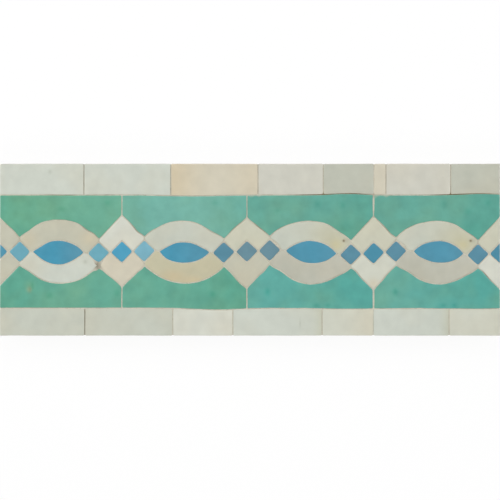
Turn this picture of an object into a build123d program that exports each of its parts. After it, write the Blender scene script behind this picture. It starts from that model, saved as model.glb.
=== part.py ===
from build123d import *
from itertools import accumulate, pairwise
from math import radians, sqrt, tan
import os

# Border panel of hand-cut glazed mosaic pieces set in a mortar bed.
# X runs along the panel, Y across it and Z up out of the glaze; zero lies under the panel's middle.

# Driving sizes, in millimetres. Lengths and heights run from joint centre to joint centre.
PANEL_LENGTH = 405.0
UPPER_LISTEL_HEIGHT = 25.8
LOWER_LISTEL_HEIGHT = 22.7
FIELD_HEIGHT = 91.5  # both rows of field pieces together
SQUARE = 12.0  # glazed side of a small square
CHEVRON_MARGIN = 1.4  # how much wider the arms of a chevron are than a square
BAND_RISE = 25.5  # motif axis to the crown of a band
FIRST_TRIM = 2.0  # middle of the first diamond past the panel's left end
JOINT = 1.0  # mortar seen between two glazed edges
JOINT_RECESS = 0.8  # mortar below the glaze
PIECE_THICKNESS = 10.0
FLANK_ANGLE = 7.0  # degrees that the cut flanks lean in toward the back
BED_DEPTH = 10.0  # mortar under the pieces
BED_SETBACK = 1.2  # bed side behind the glazed edge of the panel

# Hand-cut sizes from left to right. Each row of lengths is stretched to its run.
REPEAT_LENGTHS = (101.0, 101.0, 102.3, 102.7)  # between diamond centres
UPPER_LISTEL_LENGTHS = (68.4, 70.1, 70.5, 52.7, 40.9, 9.7, 52.2, 40.5)
LOWER_LISTEL_LENGTHS = (69.1, 71.0, 48.6, 72.1, 41.3, 61.2, 41.7)
LENS_RISES = (10.4, 9.2, 9.4, 9.4)  # middle to the crown of each lens
LENS_GAPS = ((2.1, 3.0), (3.3, 2.1), (4.3, 2.1), (6.0, 2.1))  # side square to the left and right tips
DIAMOND_DROPS = (0.0, 0.2, -0.2, 1.2, 1.2)  # middle of each diamond below the motif axis
DIAMOND_LEANS = (0.0, 3.0, 2.5, 3.9, 3.9)  # degrees that its row of squares climbs to the right

# Set-out of the panel about its middle
panel_width = LOWER_LISTEL_HEIGHT + FIELD_HEIGHT + UPPER_LISTEL_HEIGHT
right_end = PANEL_LENGTH / 2
left_end = -right_end
upper_edge = panel_width / 2
lower_edge = -upper_edge
field_top = upper_edge - UPPER_LISTEL_HEIGHT
field_bottom = lower_edge + LOWER_LISTEL_HEIGHT
axis = (field_top + field_bottom) / 2
glaze_height = BED_DEPTH + PIECE_THICKNESS

# A diamond is three squares wide each way and stands on its point
half = (SQUARE + JOINT) / sqrt(2)  # half the diagonal of one square with its joint
neck = CHEVRON_MARGIN * sqrt(2)  # corner of a side square to the tip of the field beyond it
shoulder = half + neck
point = 3 * half + neck
ROWS = {"upper": 1, "lower": -1}
HANDS = (-1, 1)


def joints(lengths, start):
    """Joints of a row of pieces that runs from its start to the panel's right end."""
    stretch = (right_end - start) / sum(lengths)
    return [start + stretch * run for run in accumulate(lengths, initial=0)]


def outline(*corners):
    """Straight-sided outline through its corners."""
    return make_face(Polyline(*corners, close=True))


def block(left, right, low, high):
    """Rectangle between two lengths and two heights."""
    return outline((left, low), (right, low), (right, high), (left, high))


def arch(start, end, crown):
    """Arc over two points, with its crown at a height halfway along."""
    return ThreePointArc(start, ((start[0] + end[0]) / 2, crown), end)


def set_diamond(x, drop, lean):
    """Hand-set diamond: a function from places about its middle to places on the panel."""
    climb = tan(radians(lean))
    return lambda along, rise: (x + along, axis - drop + rise + climb * along)


def small_square(diamond, along):
    """Square that stands on its point in the diamond's middle row."""
    corners = ((along - half, 0), (along, -half), (along + half, 0), (along, half))
    return outline(*(diamond(*corner) for corner in corners))


def chevron_arm(diamond, side, hand):
    """One arm of a chevron, from the diamond's point down to its side square."""
    corners = (
        (0, side * point),
        (hand * 2 * half, side * shoulder),
        (hand * 2 * half, side * half),
        (hand * half, 0),
        (-hand * (half + neck / 2), side * (2 * half + neck / 2)),
    )
    return outline(*(diamond(*corner) for corner in corners))


def lens_tip(diamond, along):
    """Tip of a lens, halfway back to the motif axis from the diamond's leaning row."""
    x, y = diamond(along, 0)
    return (x, (y + axis) / 2)


def lens_edge(tips, rise):
    """Edge of a lens on the side that its rise points to."""
    (left_x, left_y), (right_x, right_y) = tips
    return arch(*tips, (left_y + right_y) / 2 + rise)


def band_edge(left, right, side):
    """Arc between band and field, from one diamond to the next."""
    return arch(left(2 * half, side * shoulder), right(-2 * half, side * shoulder), axis + side * BAND_RISE)


def band(left, right, side, lens):
    """Curved band that wraps one edge of the lens and meets its twin beyond the tips."""
    outer = band_edge(left, right, side)
    right_foot = Polyline(outer @ 1, right(-2 * half, side * half), right(-3 * half, 0), lens @ 1)
    left_foot = Polyline(lens @ 0, left(3 * half, 0), left(2 * half, side * half), outer @ 0)
    return make_face([outer, right_foot, lens, left_foot])


def field(left, right, side):
    """Large piece that fills the ground between two diamonds, the band and the listels."""
    arc = band_edge(left, right, side)
    start, end = left(0, side * point), right(0, side * point)
    back = field_top if side > 0 else field_bottom
    rim = Polyline(arc @ 1, end, (end[0], back), (start[0], back), start, arc @ 0)
    return make_face([arc, rim])


def cut_piece(shape):
    """Glazed piece half a joint inside its outline, its flanks leaning in to a smaller back."""
    face = offset(shape & panel, -JOINT / 2, kind=Kind.INTERSECTION)
    piece = extrude(face, amount=PIECE_THICKNESS, taper=FLANK_ANGLE)
    if piece.center().Z > 0:  # the back has to lie below the glaze, whichever way the outline faces
        piece = mirror(piece, about=Plane.XY)
    return Pos(0, 0, glaze_height) * piece


panel = block(left_end, right_end, lower_edge, upper_edge)
centres = joints(REPEAT_LENGTHS, left_end - FIRST_TRIM)
diamonds = [set_diamond(*place) for place in zip(centres, DIAMOND_DROPS, DIAMOND_LEANS)]
pieces = {}

# Lens, bands, ground and side squares of each repeat
repeats = zip(pairwise(diamonds), LENS_RISES, LENS_GAPS)
for number, ((left, right), rise, (left_gap, right_gap)) in enumerate(repeats, start=1):
    tips = (lens_tip(left, 3 * half + left_gap), lens_tip(right, -3 * half - right_gap))
    edges = {row: lens_edge(tips, side * rise) for row, side in ROWS.items()}
    pieces[f"lens_{number}"] = cut_piece(make_face(list(edges.values())))
    pieces[f"square_right_{number}"] = cut_piece(small_square(left, 2 * half))
    pieces[f"square_left_{number}"] = cut_piece(small_square(right, -2 * half))
    for row, side in ROWS.items():
        pieces[f"band_{row}_{number}"] = cut_piece(band(left, right, side, edges[row]))
        pieces[f"field_{row}_{number}"] = cut_piece(field(left, right, side))

# Middle square and chevrons of each diamond, the first and last cut through by the panel's ends
for number, diamond in enumerate(diamonds, start=1):
    pieces[f"square_centre_{number}"] = cut_piece(small_square(diamond, 0))
    for row, side in ROWS.items():
        left_arm, right_arm = (cut_piece(chevron_arm(diamond, side, hand)) for hand in HANDS)
        pieces[f"chevron_{row}_{number}"] = left_arm + right_arm

# Listels along both edges
for number, (start, end) in enumerate(pairwise(joints(UPPER_LISTEL_LENGTHS, left_end)), start=1):
    pieces[f"listel_upper_{number}"] = cut_piece(block(start, end, field_top, upper_edge))
for number, (start, end) in enumerate(pairwise(joints(LOWER_LISTEL_LENGTHS, left_end)), start=1):
    pieces[f"listel_lower_{number}"] = cut_piece(block(start, end, lower_edge, field_bottom))

# Mortar bed, pressed up round every piece to just below the glaze
bed_outline = offset(panel, -JOINT / 2 - BED_SETBACK, kind=Kind.INTERSECTION)
mortar_bed = extrude(bed_outline, amount=glaze_height - JOINT_RECESS) - list(pieces.values())

os.makedirs("parts", exist_ok=True)
for name, piece in {**pieces, "mortar_bed": mortar_bed}.items():
    piece.label = name
    export_step(piece, f"parts/{name}.step")
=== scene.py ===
import random
import bmesh
import bpy
import numpy as np
from bpy.props import FloatProperty, FloatVectorProperty, IntProperty, PointerProperty
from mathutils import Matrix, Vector, geometry, noise


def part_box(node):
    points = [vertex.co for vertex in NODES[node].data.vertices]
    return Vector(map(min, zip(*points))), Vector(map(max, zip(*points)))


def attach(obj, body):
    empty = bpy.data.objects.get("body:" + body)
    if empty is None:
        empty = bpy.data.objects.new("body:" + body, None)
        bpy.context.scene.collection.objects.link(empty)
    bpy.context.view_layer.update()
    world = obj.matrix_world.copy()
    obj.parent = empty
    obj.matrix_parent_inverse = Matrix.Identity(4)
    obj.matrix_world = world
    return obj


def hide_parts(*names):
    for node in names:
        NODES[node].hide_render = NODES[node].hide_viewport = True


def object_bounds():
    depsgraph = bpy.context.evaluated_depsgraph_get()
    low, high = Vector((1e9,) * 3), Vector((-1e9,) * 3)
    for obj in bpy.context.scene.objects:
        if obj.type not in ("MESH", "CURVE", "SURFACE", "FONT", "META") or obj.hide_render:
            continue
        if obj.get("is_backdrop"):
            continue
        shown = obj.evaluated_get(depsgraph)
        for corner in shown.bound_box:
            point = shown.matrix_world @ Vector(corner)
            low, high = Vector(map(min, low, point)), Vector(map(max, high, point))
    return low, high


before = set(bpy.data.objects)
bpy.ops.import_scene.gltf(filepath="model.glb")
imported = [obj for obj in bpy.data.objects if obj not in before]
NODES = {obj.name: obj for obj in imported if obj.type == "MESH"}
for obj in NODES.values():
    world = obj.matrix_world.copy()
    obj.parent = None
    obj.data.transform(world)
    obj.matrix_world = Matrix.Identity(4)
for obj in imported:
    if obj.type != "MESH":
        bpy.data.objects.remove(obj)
cad_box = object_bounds()

bl_info = {
    "name": "Mosaic border panel",
    "version": (1, 0, 0),
    "blender": (4, 5, 0),
    "location": "View3D > Sidebar > Mosaic",
    "description": "Hand-cut glazed pieces, sandy mortar and a studio for the packed mosaic panel",
    "category": "Object",
}

MM = 0.001
LENGTH = {"subtype": "DISTANCE", "unit": "LENGTH", "precision": 5}
GLAZE_TOP = cad_box[1].z
HALF_PANEL = np.array(cad_box[1])[:2] / MM  # half the panel's length and width in millimetres
MERGE = 0.001 * MM  # points nearer than this are one
FEWEST_POINTS = 12  # on the shortest outline
CROSSED = 0.04  # millimetres by which a moved point may come nearer to its line before it has crossed over
TRIANGLE_TOLERANCE = 1e-4  # millimetres between points of a flat triangulation


# Colours


def linear(code):
    """Linear colour of an sRGB hex value."""
    channels = (int(code[i : i + 2], 16) / 255 for i in (1, 3, 5))
    return tuple(c / 12.92 if c <= 0.04045 else ((c + 0.055) / 1.055) ** 2.4 for c in channels)


def colour(name, description, code):
    """Colour property with an sRGB hex default."""
    return FloatVectorProperty(
        name=name, description=description, subtype="COLOR", size=3, min=0, max=1, default=linear(code)
    )


def length(name, description, millimetres):
    """Length property with a default in millimetres."""
    return FloatProperty(name=name, description=description, default=millimetres * MM, min=0, **LENGTH)


class MosaicTones(bpy.types.PropertyGroup):
    """Glaze tones of the kiln batches, with the clay and the mortar"""

    milk: colour("Milk", "Cool white glaze", "#CACFC4")
    snow: colour("Snow", "Clearest white glaze", "#D2D4C8")
    chalk: colour("Chalk", "Neutral white glaze", "#CBCABE")
    cream: colour("Cream", "Warm white glaze", "#CFC9B6")
    ash: colour("Ash", "Grey white glaze", "#BCBEB0")
    dove: colour("Dove", "Grey white glaze, a little warmer", "#BCBCAE")
    pearl: colour("Pearl", "Greenish white glaze", "#C4C8BB")
    linen: colour("Linen", "Yellowish white glaze", "#C8C8B5")
    shell: colour("Shell", "Soft white glaze", "#CDCFC1")
    oat: colour("Oat", "Dull warm white glaze", "#C1C0AE")
    sand: colour("Sand", "Toasted white glaze", "#C0BCA1")
    leaf: colour("Leaf", "Yellowish green glaze", "#6CAC94")
    mint: colour("Mint", "Pale green glaze", "#73B0A2")
    moss: colour("Moss", "Darker green glaze", "#62A596")
    fern: colour("Fern", "Fresh green glaze", "#63A792")
    sea: colour("Sea", "Bluish green glaze", "#60A99F")
    azure: colour("Azure", "Blue glaze of the lenses", "#4296B3")
    steel: colour("Steel", "Duller blue glaze", "#4D93AC")
    bright: colour("Bright", "Clearest blue glaze", "#4AA0C1")
    sky: colour("Sky", "Light blue glaze", "#6CA8B8")
    pale: colour("Pale", "Palest blue glaze", "#7BB1C2")
    slate: colour("Slate", "Grey blue glaze", "#678B98")
    dusk: colour("Dusk", "Deep blue glaze", "#4A8DA5")
    indigo: colour("Indigo", "Deep greyish blue glaze", "#588B9F")
    buff: colour("Buff", "Warm clay colour that shows through white glaze", "#D2BE98")
    olive: colour("Olive", "Yellower colour of thin green glaze", "#86A878")
    ochre: colour("Ochre", "Rust washed out of the clay", "#CBBE8C")
    clay: colour("Clay", "Fired clay under the glaze", "#CBBDA4")
    bare_edge: colour("Bare edge", "Clay seen through glaze worn thin", "#C2B89F")
    iron: colour("Iron", "Iron spot burnt into the glaze", "#5E4526")
    mortar: colour("Mortar", "Lime mortar between the pieces", "#C8C4B5")
    # Grit is also the colour painted into the open joints between listels, partly as dirt and partly as
    # painted shade
    grit_and_shade: colour("Grit", "Darker sand and dirt in the mortar", "#857F6D")
    earth: colour("Earth", "Brown earth washed into open joints", "#6E6441")


class MosaicHand(bpy.types.PropertyGroup):
    """Sizes left by the hand that cut and set the pieces"""

    edge_step: length("Edge step", "Spacing of points along a cut edge", 0.5)
    grid_step: length("Grid step", "Spacing of points over the glaze", 0.9)
    spread: length("Spread", "How far the glazed edges reach into the solids' joints", 0.3)
    wander: length("Wander", "How far a cut edge strays inside its line", 0.22)
    wander_run: length("Wander run", "Length of one slow stray along an edge", 16)
    nibble_run: length("Nibble run", "Length of one hammer bite along an edge", 2.6)
    corner: length("Corner", "Rounding of cut corners", 0.5)
    square_corner: length("Square corner", "Rounding of the small squares' corners", 1.0)
    lens_corner: length("Lens corner", "Rounding of the lenses' sharp tips", 0.25)
    arris_width: length("Arris width", "Width of the rounded glaze edge", 0.22)
    arris_drop: length("Arris drop", "Height of the rounded glaze edge", 0.3)
    swell: length("Swell", "Height of the slow waves in the glaze", 0.12)
    swell_run: length("Swell run", "Length of the slow waves in the glaze", 24)
    lippage: length("Lippage", "How much lower a piece may be set than its neighbour", 0.16)
    flank_bite: length("Flank bite", "Depth of the hammer bites in the clay flanks", 0.45)


class MosaicMortar(bpy.types.PropertyGroup):
    """Sizes of the mortar and its sand"""

    step: length("Step", "Spacing of points along the mortar", 1.0)
    joint_depth: length("Joint depth", "How far the pointing lies below the glaze", 0.42)
    joint_wave: length("Joint wave", "How much that depth comes and goes", 0.2)
    joint_floor: length("Joint floor", "Deepest that an open joint goes", 0.74)
    tuck: length("Tuck", "How far the pointing runs in under the glaze edges", 0.35)
    side_bite: length("Side bite", "Roughness of the broken sides of the bed", 0.6)
    grain: length("Grain", "Width of a sand grain", 0.42)
    grains: FloatProperty(name="Grains", description="Sand grains to a square centimetre", default=30, min=0)
    seed: IntProperty(name="Seed", description="Choice of random sand", default=7)


class MosaicStage(bpy.types.PropertyGroup):
    """Camera and light"""

    lens: FloatProperty(
        name="Lens", description="Focal length", default=150 * MM, subtype="DISTANCE_CAMERA", unit="CAMERA"
    )
    view_width: length("View width", "Width of the glaze plane that the camera sees", 403.8)
    view_drop: length("View drop", "How far below the panel's middle the camera aims", 0.28)
    key: FloatProperty(
        name="Key", description="Strength of the side lamps in watts", default=5.8, unit="POWER"
    )
    sky_level: FloatProperty(name="Sky level", description="Strength of the even light", default=0.3, min=0)
    sheet: colour("Sheet", "Paper that the panel lies on", "#FAFAFA")


# Which tone each piece was cut from, left to right
WHITE, GREEN, BLUE = "white_glaze", "green_glaze", "blue_glaze"
LISTEL_TONES = {
    "listel_upper": ("milk", "milk", "cream", "chalk", "ash", "cream", "chalk", "ash"),
    "listel_lower": ("pearl", "pearl", "snow", "milk", "shell", "milk", "shell"),
}
FIELD_TONES = {
    "field_upper": ("leaf", "mint", "moss", "moss"),
    "field_lower": ("fern", "fern", "sea", "sea"),
}
BAND_TONES = {
    "band_upper": ("oat", "pearl", "pearl", "pearl"),
    "band_lower": ("milk", "sand", "dove", "dove"),
}
CHEVRON_TONES = {
    "chevron_upper": ("oat", "snow", "linen", "linen", "linen"),
    "chevron_lower": ("oat", "cream", "oat", "shell", "snow"),
}
LENS_TONES = {"lens": ("azure", "azure", "steel", "steel")}
SQUARE_TONES = {
    "square_right": ("sky", "pale", "slate", "indigo"),
    "square_left": ("sky", "indigo", "indigo", "indigo"),
    "square_centre": ("steel", "bright", "slate", "dusk", "dusk"),
}
# What each glaze drifts toward in clouds where the firing left it thin, how far, and how mottled it is
DRIFT = {WHITE: ("buff", 0.14, 0.045), GREEN: ("olive", 0.26, 0.085), BLUE: ("slate", 0.18, 0.07)}


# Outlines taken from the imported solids, in millimetres


def loops_at(node, height):
    """Outlines of a solid's flat faces at a height, each a list of points with the face on its left."""
    shell = bmesh.new()
    shell.from_mesh(NODES[node].data)
    bmesh.ops.remove_doubles(shell, verts=shell.verts, dist=MERGE)
    level = 0.01 * MM
    flat = [face for face in shell.faces if all(abs(v.co.z - height) < level for v in face.verts)]
    sides = {(loop.vert.index, loop.link_loop_next.vert.index) for face in flat for loop in face.loops}
    follow = {a: b for a, b in sides if (b, a) not in sides}
    places = {v.index: (v.co.x / MM, v.co.y / MM) for v in shell.verts}
    shell.free()
    loops = []
    while follow:
        first, here = follow.popitem()
        chain = [first]
        while here != first:
            chain.append(here)
            here = follow.pop(here)
        loops.append(np.array([places[i] for i in chain]))
    return loops


def walked(loop, step):
    """The same closed line with points an even step apart."""
    closed = np.vstack([loop, loop[:1]])
    run = np.concatenate([[0], np.cumsum(np.linalg.norm(np.diff(closed, axis=0), axis=1))])
    count = max(FEWEST_POINTS, round(run[-1] / step))
    stations = np.linspace(0, run[-1], count, endpoint=False)
    return np.column_stack([np.interp(stations, run, closed[:, axis]) for axis in (0, 1)])


def softened(loop, step, reach):
    """A closed line with its corners rounded over a reach."""
    for _ in range(round(2 * (reach / step) ** 2)):
        loop = (np.roll(loop, 1, axis=0) + 2 * loop + np.roll(loop, -1, axis=0)) / 4
    return loop


def inward(loop):
    """Unit directions into the face on the left of a closed line."""
    along = np.roll(loop, -1, axis=0) - np.roll(loop, 1, axis=0)
    along /= np.linalg.norm(along, axis=1)[:, None]
    return np.column_stack([-along[:, 1], along[:, 0]])


def nearest_on(loop, points):
    """For each point, the nearest place on a closed line."""
    ends = np.roll(loop, -1, axis=0) - loop
    gaps = points[:, None, :] - loop[None, :, :]
    share = np.clip((gaps * ends).sum(2) / (ends * ends).sum(1), 0, 1)
    places = loop[None, :, :] + share[:, :, None] * ends[None, :, :]
    best = np.linalg.norm(points[:, None, :] - places, axis=2).argmin(1)
    return places[np.arange(len(points)), best]


def drawn_in(loop, depth):
    """A closed line moved into its face; points that would cross over at a sharp corner run together."""
    moved = loop + inward(loop) * depth[:, None]
    away = np.linalg.norm(moved - nearest_on(loop, moved), axis=1)
    kept = np.flatnonzero(away > np.abs(depth) - CROSSED)
    spots = moved[kept]
    for i in range(len(kept)):
        run = [(i + step) % len(kept) for step in range(4)]
        crossing = geometry.intersect_line_line_2d(*spots[run])
        if crossing:
            spots[run[1:3]] = crossing
    return spots[np.searchsorted(kept, np.arange(len(loop))) % len(kept)]


def fresh(loop):
    """Which points of a closed line differ from the one before."""
    return (loop != np.roll(loop, 1, axis=0)).any(axis=1)


def within(loop, points):
    """Which points lie inside a closed line."""
    found = np.zeros(len(points), bool)
    low, high = loop.min(axis=0), loop.max(axis=0)
    near = np.flatnonzero(((points > low) & (points < high)).all(axis=1))
    x, y = points[near].T
    inside = np.zeros(len(near), bool)
    for (x0, y0), (x1, y1) in zip(loop, np.roll(loop, -1, axis=0)):
        if y0 != y1:
            crossed = (y0 > y) != (y1 > y)
            inside ^= crossed & (x < x0 + (x1 - x0) * (y - y0) / (y1 - y0))
    found[near] = inside
    return found


def ripple(points, run, seed):
    """Smooth random values from -1 to 1 over points, about one run apart."""
    return np.array([noise.noise(Vector((x / run, y / run, seed))) for x, y in points])


# Where the setter's hand moved a joint from its drawn line, in millimetres: place on the panel, reach
# along and across it, and the move along and across
HAND_MOVES = (
    # Field and listels, upper and lower
    (-46, 43.7, 30, 7, 0, -0.8),
    (79, 43.7, 18, 7, 0, 1.1),
    (186, 43.7, 20, 7, 0, 1.1),
    (-28, -46.8, 26, 7, 0, -1.4),
    (80, -46.8, 40, 7, 0, -0.75),
    (180, -46.8, 45, 7, 0, -0.7),
    # Upper edge of the motif, left to right
    (-191, 15.5, 7, 5, 0, 0.9),
    (-178, 15.9, 9, 5, 0, -1.4),
    (-132.8, 15.5, 5, 5, 0, -1.9),
    (-92.3, 15, 5, 5, 0, -1.5),
    (-72.9, 18.5, 8, 5, 0, -0.9),
    (-52.6, 23, 14, 5, 0, -1),
    (-33, 17, 11, 8, 0, -3.4),
    (-2.4, 25.6, 9, 8, 0, -2.4),
    (8, 20, 5, 5, 0, -0.6),
    (44.6, 22, 22, 5, 0, -1.3),
    (71, 15.5, 9, 7, 0, -2),
    (112.6, 13, 4, 5, 0, -1.2),
    (147.4, 22.5, 22, 5, 0, -1.25),
    (173, 15.5, 9, 7, 0, -2),
    # Lower edge of the motif, left to right
    (-177, -19, 9, 7, 0, 2),
    (-129.6, -18, 6, 5, 0, 1.3),
    (-106, -28.5, 12, 8, 0, 1.3),
    (-86, -14.5, 4, 4, 0, -1),
    (-9.7, -27, 7, 7, 0, -1.6),
    (12, -17.5, 4, 5, 0, -1),
    (26, -19, 8, 7, 0, 2.4),
    (47.8, -27.7, 10, 5, 0, -0.7),
    (69.7, -21.5, 10, 5, 0, 1.2),
    (85.9, -18, 5, 5, 0, 1.5),
    (111, -20, 5, 5, 0, 0.8),
    (129, -19, 9, 7, 0, 2.6),
    (151.5, -27.8, 10, 5, 0, -0.7),
    (173.3, -21, 8, 5, 0, 1.1),
    (189.5, -18, 6, 5, 0, 1.3),
    # Lenses and small squares, left to right
    (-155.5, 7, 22, 5, 0, -0.9),
    (-143, -7, 8, 5, 0, 1.2),
    (-186, -1.5, 8, 8, 0.3, -0.4),
    (-175.4, -2, 3, 3, -1, 0),
    (-168.5, 3.5, 5, 4, 0, -0.8),
    (-122, -2.6, 8, 8, -1, 0),
    (-85.2, -0.9, 8, 8, -0.8, -0.45),
    (-73, -1.9, 3, 3, -1, 0),
    (-69.5, -4.5, 4, 3, 0, -0.7),
    (-67, 3.5, 5, 4, 0, -0.8),
    (-51, 6.5, 20, 5, 0, -1.4),
    (-64.8, -6, 10, 5, 0, -1.6),
    (-39, 2.5, 6, 4, 0, -1),
    (-21.6, -1.5, 9, 9, -0.75, 0),
    (31.5, -1.5, 4, 4, -0.8, 0),
    (118.3, -1.5, 9, 9, -0.6, 0),
    (134, -1.5, 4, 4, -1.4, 0),
    (137.7, 4, 5, 4, 0, 0.7),
    (137.7, -4, 5, 4, 0, -0.9),
    (154, -10, 8, 4, 0, 0.6),
)


# Joints left wider or closer than the rest and a knocked corner, in millimetres: which pieces stand back
# from their line, where, over what reach along and across the panel, and how far
WIDE_JOINTS = (
    ("listel_upper_1", -202, 69.5, 1.6, 1.6, 0.7),
    ("listel_upper_5", 100.1, 57, 3, 10, -0.15),
    ("listel_upper_6", 100.1, 57, 3, 10, -0.15),
    ("listel_lower_5", 99.6, -58, 3, 10, -0.15),
    ("listel_lower_6", 99.6, -58, 3, 10, -0.15),
    ("field", 99.8, 36, 4, 8, 0.25),
    ("field", 99.8, -39, 4, 8, 0.3),
    ("field", -2.5, -39, 4, 8, 0.15),
    ("band_upper_3", 21.5, 6.3, 5, 5, 1.6),
    ("band_upper_4", 124.8, 5.7, 5, 5, 1.6),
    ("square_left_1", -123, -12, 3, 3, 0.8),
    ("band_lower_1", -124, -12.5, 3, 4, 1.5),
    ("chevron_lower_2", -122, -12.5, 3, 4, 1.1),
    ("field_lower_1", -123, -15, 3, 2.5, 0.8),
)


def hand_set(points):
    """Points of an outline moved with the joints that the setter's hand moved."""
    moved = points.copy()
    for x, y, along, across, move_x, move_y in HAND_MOVES:
        pull = np.exp(-(((points - (x, y)) / (along, across)) ** 2).sum(axis=1))
        moved += pull[:, None] * (move_x, move_y)
    return moved


# Flaws seen on single pieces: what, where in millimetres from the panel's middle, its reach along and
# across, and how strong it is
IRON, CHIP, PIT, WORN, STAIN, RUST, POOL = "iron", "chip", "pit", "worn", "stain", "rust", "pool"
FLAWS = {
    "listel_upper_1": ((PIT, -162.0, 62.9, 1.0, 1.0, 1.0), (POOL, -161.6, 62.8, 1.2, 1.6, 0.8)),
    "listel_upper_3": ((STAIN, -64.0, 57.0, 20.0, 40.0, 0.5), (STAIN, 2.0, 57.0, 16.0, 40.0, 0.2)),
    "listel_lower_2": ((STAIN, -146.0, -58.0, 26.0, 30.0, 0.2),),
    "listel_lower_4": (
        (POOL, 59.0, -58.0, 22.0, 40.0, 0.25),
        (POOL, 59.0, -58.0, 6.5, 40.0, 0.3),
        (RUST, 59.0, -58.0, 6.0, 40.0, 0.2),
        (POOL, 40.5, -59.5, 0.6, 3.5, 0.9),
    ),
    "listel_lower_5": ((STAIN, 100.0, -58.0, 18.0, 40.0, 0.25),),
    "listel_lower_6": (
        (POOL, 162.0, -58.0, 22.0, 40.0, 0.25),
        (POOL, 162.0, -58.0, 6.5, 40.0, 0.3),
        (RUST, 162.0, -58.0, 6.0, 40.0, 0.2),
    ),
    "listel_lower_7": ((STAIN, 203.0, -58.0, 20.0, 40.0, 0.08), (POOL, 203.0, -58.0, 8.0, 40.0, 0.2)),
    "field_upper_1": (
        (POOL, -195.0, 30.0, 45.0, 40.0, 0.4),
        (POOL, -115.0, 37.8, 2.5, 2.5, 0.5),
        (POOL, -152.0, 33.0, 3.0, 2.0, 0.4),
    ),
    "field_upper_2": (
        (POOL, -100.0, 30.0, 18.0, 40.0, 0.25),
        (POOL, -8.0, 30.0, 20.0, 40.0, 0.3),
        (POOL, -28.0, 37.8, 3.0, 2.0, 0.4),
    ),
    "field_upper_3": (
        (WORN, 0.8, 43.5, 3.0, 2.5, 1.0),
        (WORN, 7.5, 43.0, 3.0, 2.5, 1.0),
        (POOL, 94.0, 30.0, 22.0, 40.0, 0.25),
        (POOL, 76.0, 16.0, 10.0, 9.0, 0.35),
        (POOL, 54.7, 36.8, 2.5, 3.0, 0.4),
        (POOL, 75.0, 35.8, 2.0, 2.5, 0.45),
        (POOL, 22.3, 31.7, 2.5, 2.0, 0.35),
    ),
    "field_upper_4": (
        (WORN, 101.6, 43.5, 4.0, 3.5, 1.0),
        (WORN, 110.2, 43.0, 3.0, 2.5, 1.0),
        (POOL, 196.0, 30.0, 22.0, 40.0, 0.25),
        (POOL, 178.5, 16.0, 10.0, 9.0, 0.35),
        (POOL, 176.0, 30.7, 2.5, 2.5, 0.45),
        (POOL, 192.4, 37.8, 2.0, 2.5, 0.35),
        (POOL, 157.0, 36.8, 2.5, 3.0, 0.35),
    ),
    "field_lower_1": (
        (IRON, -177.8, -32.0, 1.1, 2.4, 0.22),
        (RUST, -178.3, -32.3, 2.2, 2.2, 0.28),
        (POOL, -175.8, -29.4, 1.2, 3.5, 0.6),
        (STAIN, -178.0, -28.5, 4.0, 3.5, 0.25),
        (POOL, -200.0, -35.0, 30.0, 30.0, 0.25),
        (POOL, -162.0, -37.0, 3.0, 2.5, 0.5),
        (POOL, -107.3, -35.0, 2.5, 3.5, 0.45),
    ),
    "field_lower_2": ((POOL, -10.0, -30.0, 28.0, 40.0, 0.25), (POOL, -30.0, -36.0, 2.5, 2.5, 0.5)),
    "field_lower_3": (
        (POOL, 85.0, -30.0, 45.0, 40.0, 0.35),
        (POOL, 14.2, -34.1, 2.2, 2.8, 0.8),
        (POOL, 53.6, -45.0, 2.5, 1.5, 0.5),
        (POOL, 62.8, -45.0, 2.0, 1.5, 0.5),
    ),
    "field_lower_4": (
        (POOL, 188.0, -30.0, 45.0, 40.0, 0.35),
        (POOL, 117.4, -34.1, 2.2, 2.8, 0.8),
        (POOL, 156.0, -45.0, 2.5, 1.5, 0.5),
        (POOL, 165.0, -45.0, 2.0, 1.5, 0.5),
    ),
    "band_upper_1": ((STAIN, -128.8, 9.4, 9.0, 7.0, 0.35), (STAIN, -180.0, 8.0, 8.0, 8.0, 0.3)),
    "band_upper_3": (
        (IRON, 75.7, 7.2, 0.85, 0.85, 1.0),
        (IRON, 78.0, 7.5, 2.4, 2.4, 0.16),
        (RUST, 69.5, 3.5, 6.0, 5.0, 0.3),
        (RUST, 68.0, 9.0, 20.0, 16.0, 0.3),
        (POOL, 72.0, 9.0, 16.0, 14.0, 0.3),
    ),
    "band_upper_4": (
        (IRON, 178.2, 7.2, 0.85, 0.85, 1.0),
        (IRON, 180.5, 7.5, 2.4, 2.4, 0.16),
        (RUST, 172.0, 3.5, 6.0, 5.0, 0.3),
        (RUST, 170.5, 9.0, 20.0, 16.0, 0.3),
        (POOL, 174.5, 9.0, 16.0, 14.0, 0.3),
    ),
    "band_lower_1": (
        (PIT, -133.2, -10.0, 1.0, 1.0, 1.0),
        (POOL, -133.2, -10.0, 1.6, 1.6, 0.9),
        (STAIN, -180.0, -13.0, 14.0, 12.0, 0.25),
    ),
    "band_lower_2": ((STAIN, -62.0, -22.0, 10.0, 6.0, 0.55), (STAIN, -45.0, -25.0, 8.0, 4.0, 0.5)),
    "band_lower_3": ((POOL, 30.0, -20.0, 18.0, 14.0, 0.3),),
    "band_lower_4": ((POOL, 132.0, -20.0, 18.0, 14.0, 0.3),),
    "chevron_upper_2": ((CHIP, -98.0, 19.6, 1.2, 1.2, 1.0),),
    "chevron_lower_4": ((STAIN, 99.6, -27.5, 5.0, 4.0, 0.35),),
    "lens_1": ((STAIN, -137.0, -2.0, 18.0, 20.0, 0.45),),
    "lens_2": ((STAIN, -40.0, -2.0, 26.0, 20.0, 0.35),),
    "lens_3": ((STAIN, 70.0, -2.0, 16.0, 20.0, 0.2),),
    "lens_4": ((STAIN, 172.0, -2.0, 16.0, 20.0, 0.25),),
}


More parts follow.
